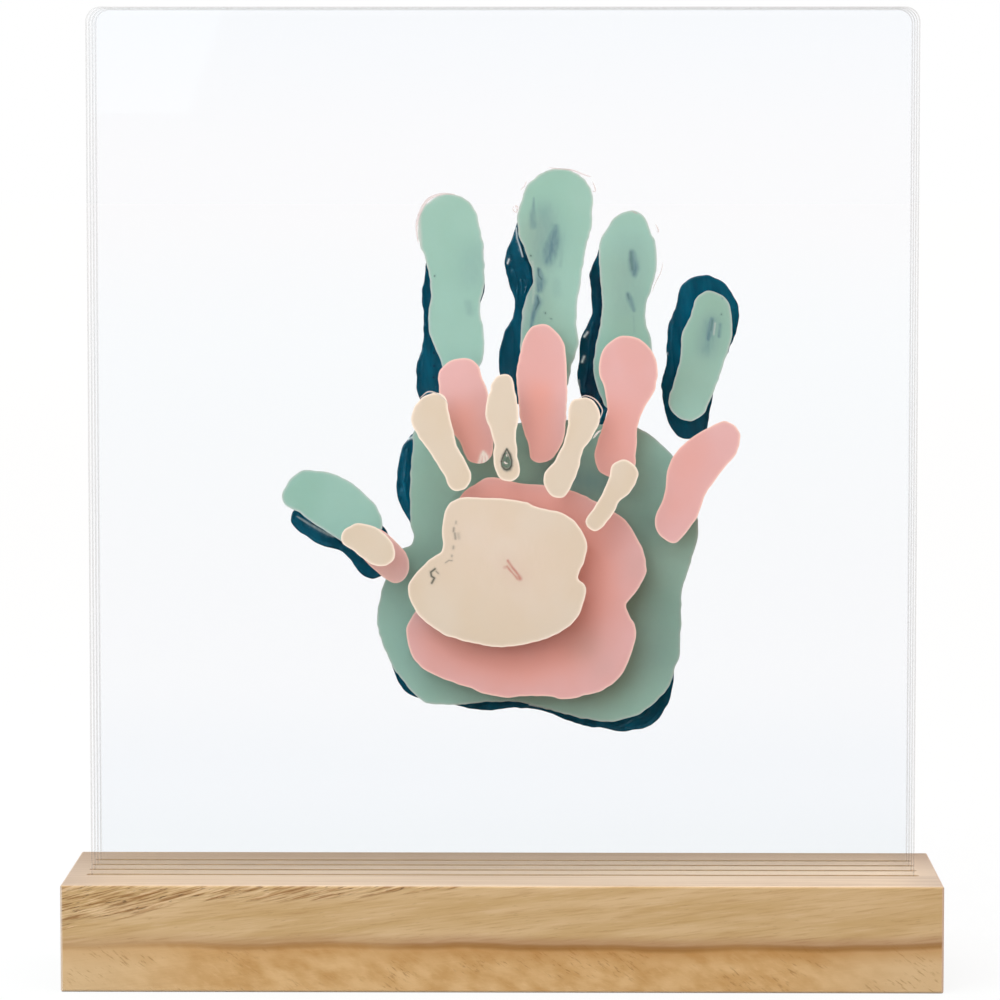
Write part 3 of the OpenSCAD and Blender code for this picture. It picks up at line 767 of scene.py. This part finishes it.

# %% [markdown]
# Where a hand slipped or the paint ran thin, a print has marks: cool smudges where the teal behind
# shows through the sage, a pale scratch in the pink, a few dark and reddish traces in the cream,
# the dark rim of the bare drop, and folds in the thick teal, which stand up and catch the light.
# Other strokes are painted light and shade: salmon painted shade in the pink, dark painted shade
# and pale painted highlights in the teal, painted shade in the sage's palm, and broad painted light
# in the cream's palm and the pink's thumb. Each is a stroke: its kind, its strength, its widths and
# its path in mm.

# %% Marks
MARKS = {
    "sage_palm": [
        # The broad first mark is the palm's greyer paint. The smudge between the fingers and the
        # two broad flecks are painted shade, where the pink and cream hands shadow the sage.
        ("worn", 0.85, (44,), 8+128j, 16+120j), ("smudge", 0.45, (5,), 16+154j, 30+150j),
        ("fleck", 0.2, (9,), 50+112j, 49+97j), ("fleck", 0.18, (7,), 39.5+145j, 41.5+139j)],
    "sage_middle": [
        ("smudge", 0.6, (0.3, 0.6, 1.3, 1.5), 9.3+237.5j, 9.2+235j, 9.2+232.5j, 9.2+229j),
        ("worn", 0.35, (5, 6, 8), 9+228j, 9+212j, 13+196j),
        ("smudge", 0.42, (3.6, 5.2, 3.8), 12.6+233j, 13.4+226j, 12.6+219j),
        ("smudge", 1, (1.2, 2.4, 2.8, 2), 16+228.6j, 15.4+225j, 14.4+221.5j, 13.8+218.6j),
        ("smudge", 0.25, (0.8,), 18.6+226.5j, 17.4+217j),
        ("smudge", 1, (0.8, 1.8, 1.3), 10.9+215.6j, 11.4+212.3j, 11.1+209.6j),
        ("smudge", 1, (0.8, 1.5, 1.1, 0.8, 0.5), 10.3+207.6j, 10.5+205.7j, 9.6+203.4j, 8.9+200.5j,
         8.5+197.5j),
        ("smudge", 0.22, (1.4,), 16+212j, 16.2+208.5j),
        ("fleck", 0.6, (0.16,), 10.6+216.3j, 10.8+213.9j, 11.7+212.8j),
        ("fleck", 0.55, (0.15, 0.3, 0.15), 10.5+207.3j, 10.9+205.7j, 9.9+203.4j),
        ("smudge", 0.3, (4,), 9.6+214j, 7.6+200j),
        ("pale", 0.3, (0.4, 0.6, 0.4), 9+218.2j, 9.5+212j, 9+205.5j),
        ("pale", 0.3, (1.6,), 6.6+206j, 5.4+199j),
        ("fleck", 0.9, (0.22,), 12.9+202.4j, 12.9+202.5j),
        ("fleck", 0.8, (0.2,), 14.6+200.7j, 14.7+200.7j),
        ("fleck", 0.8, (0.27,), 8.4+220j, 8.5+219.9j)],
    "sage_ring": [
        ("smudge", 0.9, (1.1, 1.6, 1.7, 1.1), 39.3+221j, 39.7+218.8j, 40+216j, 40+214.2j),
        ("fleck", 0.3, (0.4, 0.6, 0.4), 38.9+221j, 39+218.6j, 39.4+215.8j),
        ("smudge", 0.8, (0.9, 1.3, 0.7), 38+208.2j, 38.7+206.6j, 39.9+203.3j),
        ("worn", 0.3, (8,), 36+214j, 38+198j), ("fleck", 0.25, (0.4,), 38+208.1j, 38.4+206.9j),
        ("smudge", 0.25, (0.5,), 39.6+204.5j, 40.1+196.9j),
        ("smudge", 0.2, (6.5,), 38.7+222j, 39.3+206j)],
    "sage_index": [
        ("smudge", 0.35, (1.1,), -10.7+205.6j, -10.1+202.7j),
        ("smudge", 0.22, (5,), -8.4+219.1j, -9+214.4j),
        ("pale", 0.8, (0.5, 0.9, 0.5), -25.6+239j, -25.9+230j, -25+222j),
        ("fleck", 0.9, (0.25,), -20.9+213.8j, -20.9+213.7j)],
    "sage_little": [
        ("worn", 0.3, (9,), 65+204j, 59+184j),
        ("smudge", 0.9, (0.8, 1.6, 1), 63.7+200.6j, 63.3+198.4j, 62.6+194.5j),
        ("fleck", 0.35, (0.25,), 63.9+200.2j, 63.4+197.2j),
        ("pale", 0.6, (0.3,), 64.7+199.4j, 64.3+196j), ("smudge", 0.5, (3,), 63.5+199j, 62+192j),
        ("smudge", 0.7, (0.7,), 66.2+199j, 65.9+195.4j),
        ("fleck", 0.8, (0.2,), 66.6+202.1j, 66.6+202j),
        ("smudge", 0.6, (0.3,), 66.8+207j, 66.9+206.9j)],
    # In the pink, the broad salmon marks are painted shade, where the cream hand shadows it. The
    # thin strokes in the index are a pale scratch.
    "pink_index": [
        ("worn", 0.7, (6, 8), -12+171j, -9.5+160j),
        ("smudge", 1, (0.6,), -7.1+156.9j, -6.6+159.2j, -5.9+160.5j, -5.7+157.5j),
        ("smudge", 1, (0.6,), -5.5+160.1j, -4.9+159.2j, -4.5+156.9j)],
    "pink_middle": [("worn", 0.7, (5, 8), 11+178j, 11.5+161j)],
    "pink_ring": [("worn", 0.6, (8,), 34+170j, 32+156j)],
    "pink_little": [("worn", 0.25, (8,), 55+158j, 54+146j)],
    "pink_thumb": [
        # On the thumb, the salmon mark is painted shade and the broad pale one painted light.
        ("worn", 0.3, (9,), -38+124j, -34+117j), ("pale", 0.3, (9,), -37+122j, -34+116j)],
    "pink_palm": [
        # The salmon ring is painted shade round the cream palm's shadow; the broad flecks darken
        # the palm's right side.
        ("worn", 0.75, (8,), -18+105j, -7+98j, 8+95.5j, 22+101j, 27+113j, 28+125j, 25+137j,
         16+143j, -1+146j, -11+144j),
        ("fleck", 0.28, (6,), 24.8+102.2j, 25.5+101j), ("fleck", 0.15, (5,), 29.9+96.1j, 30+95j),
        ("fleck", 0.15, (5,), 41+127j, 41+125j)],
    "teal_middle": [
        # In the teal, the dark smudges and broad tone marks are painted shade, beside its folds and
        # where the hands in front shadow it, and the pale marks are painted highlights. Its flecks
        # are specks in the paint.
        ("smudge", 0.85, (0.2, 0.3, 0.4, 0.3, 0.3), 4.3+228j, 5.2+225j, 6+221j, 6.7+219.3j,
         8+217.5j, 8.7+216j, 8.8+214j, 8.9+210.2j),
        ("pale", 0.8, (0.2,), 3.9+228.2j, 4.2+225j, 5.2+222j, 5.9+219.5j),
        ("fold", 1, (0.3,), 4+228.2j, 4.6+225j, 5.5+221.8j, 6.2+219.2j, 7.6+217.2j, 8.2+214j),
        ("fold", 1, (0.3,), 1.1+216.6j, 1.5+218.3j, 2.1+219.3j),
        ("pale", 0.95, (0.25,), 1.3+217.4j, 1.7+218.6j), ("fold", 0.6, (0.3,), 5.5+212j, 6+207.5j),
        ("fold", 0.6, (0.3,), 7.2+210j, 6.3+207.5j),
        ("fold", 0.5, (0.5,), 3.2+215j, 4.6+211j, 4.4+206.5j),
        ("fold", 0.6, (0.35,), 2.2+200j, 3+195j, 3.2+189j),
        ("fold", 0.6, (0.35,), 5.8+200j, 6.2+194j)],
    "teal_ring": [
        ("worn", 0.75, (1.4, 1.9, 1.3), 26.8+184j, 26.2+180.5j, 27.2+176.6j),
        ("smudge", 0.95, (0.5, 0.8, 0.9, 0.9), 23+176.7j, 25+177.3j, 27.2+176.6j, 28.7+175j,
         30.4+173.4j, 28.4+169.5j),
        ("fold", 1, (0.3,), 24.6+194.4j, 25.2+195.3j, 26+196.5j),
        ("pale", 1, (0.35,), 24.9+195j, 25.8+196.2j), ("fold", 1, (0.3,), 24+186.5j, 24.8+189.2j),
        ("pale", 1, (0.35,), 24.2+187.2j, 24.8+188.8j),
        ("pale", 0.45, (0.3,), 23+177.5j, 23.3+179.5j, 23.1+181.5j),
        ("smudge", 0.85, (1.4, 1.8, 2, 2), 29.6+212j, 30.3+204j, 28.8+196j, 28+188j, 28.6+180j,
         30.6+175j),
        ("fold", 0.9, (0.3,), 27.5+199j, 26.8+196j, 26.3+192j, 26.2+188j, 25.9+185j, 25.4+182j,
         24.9+179.5j),
        ("smudge", 0.8, (0.3,), 27.9+198j, 27.2+195j, 27.3+190j, 26.9+186j, 27.4+182j),
        ("fold", 0.7, (0.3,), 26+215j, 26.6+209j, 27.2+203j),
        ("pale", 0.25, (0.2,), 25.8+214j, 26.3+209j)],
    "teal_thumb": [
        ("pale", 0.4, (0.2, 0.45, 0.5, 0.3), -63.5+139.5j, -60+137.3j, -57+135.6j, -54+134j,
         -52.3+133.3j),
        ("fold", 1, (0.35,), -63.5+139.5j, -60+137.3j, -57+135.6j, -54+134j, -52.3+133.3j),
        ("smudge", 0.9, (0.3,), -59+137.3j, -56+136.2j, -54+135.5j, -52+134j, -50+131.2j),
        ("fold", 0.6, (0.35,), -50+129j, -45+124j, -41+119j),
        ("fold", 0.5, (0.4,), -66+137j, -60+133j, -54+130j)],
    "teal_index": [
        ("fleck", 0.9, (0.25,), -21.4+190j, -21.3+189.8j),
        ("fleck", 0.9, (0.25,), -21.3+186j, -21.3+185.8j),
        ("fleck", 0.9, (0.25,), -21.5+182.5j, -21.4+182.3j),
        ("fold", 0.6, (0.4,), -24.2+198j, -24.6+190j, -25+180j),
        ("fold", 0.5, (0.4,), -22.4+196j, -22.6+186j)],
    "teal_little": [
        ("fold", 0.7, (0.35,), 52+199j, 51.5+193j, 52.3+186j, 52+178j),
        ("fold", 0.6, (0.35,), 60+205.5j, 65+207.2j, 69.5+204.5j, 70.6+199j),
        ("pale", 0.5, (0.2,), 50.3+197.5j, 50.2+196.8j),
        ("pale", 0.5, (0.2,), 50.3+190j, 50.3+189.5j)],
    "teal_palm": [
        ("pale", 0.7, (0.2,), 8+81.2j, 12+80.4j), ("pale", 0.9, (0.4,), -29.6+163.4j, -28+163.9j),
        ("fold", 0.8, (0.4,), -20+95j, -10+86j, 5+82j, 20+77j),
        ("fold", 0.6, (0.4,), 36+74j, 44+78j, 50+88j),
        ("fold", 0.6, (0.4,), -29.5+160j, -30.5+150j, -28.5+138j)],
    "cream_middle": [
        ("fleck", 1, (0.34, 0.5, 0.4, 0.36, 0.5, 0.6, 0.66, 0.5, 0.42, 0.55, 0.34), 1.3+162.2j,
         0.3+160.2j, -0.3+158.4j, -0.1+156.9j, 0.6+156.1j, 1.3+155.9j, 2.1+156.2j, 2.7+157.1j,
         2.8+158.6j, 2.2+160.5j, 1.3+162.2j)],
    "cream_palm": [
        # The broad pale mark is painted light on the middle of the palm, with a pinker tone of its
        # own.
        ("pale", 0.2, (18,), -6+134j, 8+126j),
        ("fleck", 0.95, (0.34,), -20.4+125.8j, -21.7+124.8j, -21.5+123.6j, -20.6+123j),
        ("fleck", 0.9, (0.36,), -20.6+123j, -21.4+121.5j),
        ("fleck", 0.6, (0.25,), -20.1+125.1j, -19.4+124.4j),
        ("fleck", 0.55, (0.2,), -17.2+127.7j, -16.2+128.4j, -15.2+128.3j),
        ("fleck", 0.4, (0.3,), -14+140.2j, -14.1+139.6j),
        ("fleck", 0.55, (0.35,), -14.7+138.2j, -14.8+137.2j),
        ("fleck", 0.55, (0.4,), -14.4+136.6j, -14.2+135j),
        ("fleck", 0.25, (0.6,), -13.4+136.4j, -13.2+135.2j),
        ("fleck", 0.45, (0.35,), -14.8+132.6j, -14.9+132j),
        ("fleck", 0.5, (0.3,), -15.3+129.9j, -15.3+129.6j),
        ("smudge", 0.95, (0.45,), 1.6+128.3j, 2.8+126.5j, 4.8+124j, 5.3+122.8j),
        ("smudge", 0.9, (0.5, 0.3, 0.5), 1.4+126.5j, 3.2+124.4j, 4.6+122.8j),
        ("smudge", 0.95, (0.75,), 4.9+123.5j, 5.3+122.9j),
        ("smudge", 0.5, (0.6,), 0.7+126.3j, 1.5+126.5j),
        ("smudge", 0.1, (3.5,), 1.5+127j, 4.8+123.5j)],
}

# %% [markdown]
# Every film takes the place of its solid and rides on its plate.

# %% Films
for hand, plate in HANDS.items():
    for part in PATCHES:
        piece = film(hand, part, finishes[hand], MARKS.get(f"{hand}_{part}", []))
        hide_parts(f"{hand}_{part}")
        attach(piece, plate)

# %% [markdown]
# Beside the prints, the paint has left hair-thin traces on the plates, where a finger rolled or a
# bubble dried: pale arcs round the tips. The two small pale lines inside the bare drop are painted
# highlights. Each is a low half-round line laid along a smooth path, and so thin that a little
# light comes through. A curve object with a bevel could make them, but a grid of points gives the
# taper at the ends and a side that lies flat on the plate.

# %% Traces
TRACE_TINTS = {"sage": "#eee9e7", "cream": "#f6f1ea"}
TRACE_GAP, TRACE_ALPHA = 0.006, 0.6
TRACE_STEPS, TRACE_ROUND, TRACE_HIGH, TRACE_END = 28, 7, 0.12, 0.02
TRACES = {
    "sage": [
        (0.9, -25.9+223.7j, -26.4+229j, -25.2+233.3j, -22.9+237j, -18.9+238.7j, -14.5+238.6j),
        (0.45, 13.8+246.8j, 16.4+246.4j, 20.8+246j, 25.1+244.4j, 26.9+244j),
        (0.4, 27.2+242.6j, 28.1+239.9j, 27.3+239.4j), (0.35, 5.3+239.9j, 6.5+241.2j, 7.1+242.6j),
        (0.35, 3.3+235.1j, 3+233.9j, 4+233.2j, 4.5+234.5j, 3.8+235.1j, 4.4+232.7j),
        (0.4, 46.4+229.5j, 47.3+227.8j, 47.1+226.9j), (0.35, 39.4+233.5j, 40.9+232.7j),
        (0.3, 48.7+218.2j, 48.1+215j, 46.5+211.8j, 45.3+208.6j)],
    "cream": [
        (0.4, 23+177.6j, 25.3+178.3j, 27.9+177.2j, 29.6+175.1j, 30.1+173.4j, 29+170.4j),
        (0.6, 27.4+165.4j, 28.4+166.8j, 29.6+167.9j),
        (0.4, -25.1+177.4j, -22.2+179.5j, -18.8+178.3j, -16.2+175.7j),
        # The last two lines, inside the bare drop, are painted highlights.
        (0.5, 0.4+158.5j, 0.9+157.9j, 1.6+157.8j), (0.35, 1.2+160.7j, 1.3+159.8j)],
}


def smooth_path(points, count):
    """Catmull-Rom: each point on the way is a cubic mix of the four path points about it."""
    p = np.concatenate([[2 * points[0] - points[1]], points, [2 * points[-1] - points[-2]]])
    t = np.linspace(0, len(points) - 1, count)
    k = np.minimum(t.astype(int), len(points) - 2)
    t = t - k
    a, b, c, d = (p[k + n] for n in range(4))
    return b + 0.5 * t * (c - a + t * (2 * a - 5 * b + 4 * c - d + t * (3 * (b - c) + d - a)))


def trace_surface(path, wide, contact):
    """Point = path + width / 2 * cos v to the side, and height * sin v off the plate, for v from 0
    to half a turn. Both shrink to the ends as the root of a sine."""
    along = smooth_path(np.array(path), TRACE_STEPS)
    side = 1j * np.gradient(along)
    side /= np.abs(side)
    shrink = np.sin(np.linspace(0, math.pi, TRACE_STEPS))[:, None]
    shrink = np.sqrt(np.clip(shrink, TRACE_END, 1))
    v = np.linspace(0, math.pi, TRACE_ROUND)
    flat = along[:, None] + side[:, None] * shrink * wide / 2 * np.cos(v)
    lift = contact + TRACE_GAP + TRACE_HIGH * shrink * np.sin(v)
    return np.stack([flat.real, lift, flat.imag], axis=2)


def trace_finish(hand, tint):
    """Dried thin paint: pale, a little cloudy along its length, with a soft shine."""
    made, tree, place = new_material(f"{hand} paint, thin traces")
    cloud = patterns(tree, place, {"cloud": ((3, 3, 3), 0, 2)})["cloud"]
    colour = coat(tree, linear(tint), "#f2efec", cloud, 0.35, 0.7, 0.5)
    finish_with(tree, add(tree, "BsdfPrincipled", {
        "Base Color": colour, "Roughness": 0.5, "Specular IOR Level": 0.2, "Alpha": TRACE_ALPHA}))
    return made


for hand, rows in TRACES.items():
    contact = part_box(f"{hand}_palm")[0][1] / MM
    grids = [trace_surface(path, wide, contact) for wide, *path in rows]
    band = band_faces(TRACE_STEPS, TRACE_ROUND)
    size = TRACE_STEPS * TRACE_ROUND
    faces = np.concatenate([band + k * size for k in range(len(grids))]).tolist()
    is_round = np.arange(TRACE_ROUND) < TRACE_ROUND - 1
    is_round = np.tile(is_round, len(faces) // TRACE_ROUND).tolist()
    ends = [[k * size + first + n for n in range(TRACE_ROUND)]
            for k in range(len(grids)) for first in (0, size - TRACE_ROUND)]
    piece = mesh_piece(f"{hand}_traces", np.concatenate(grids).reshape(-1, 3), faces + ends,
                       [trace_finish(hand, TRACE_TINTS[hand])], [0] * (len(faces) + len(ends)),
                       is_round + [0] * len(ends))
    shell = bmesh.new()
    shell.from_mesh(piece.data)
    bmesh.ops.recalc_face_normals(shell, faces=shell.faces)
    shell.to_mesh(piece.data)
    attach(piece, HANDS[hand])
    print(piece.name, "lines:", len(rows))
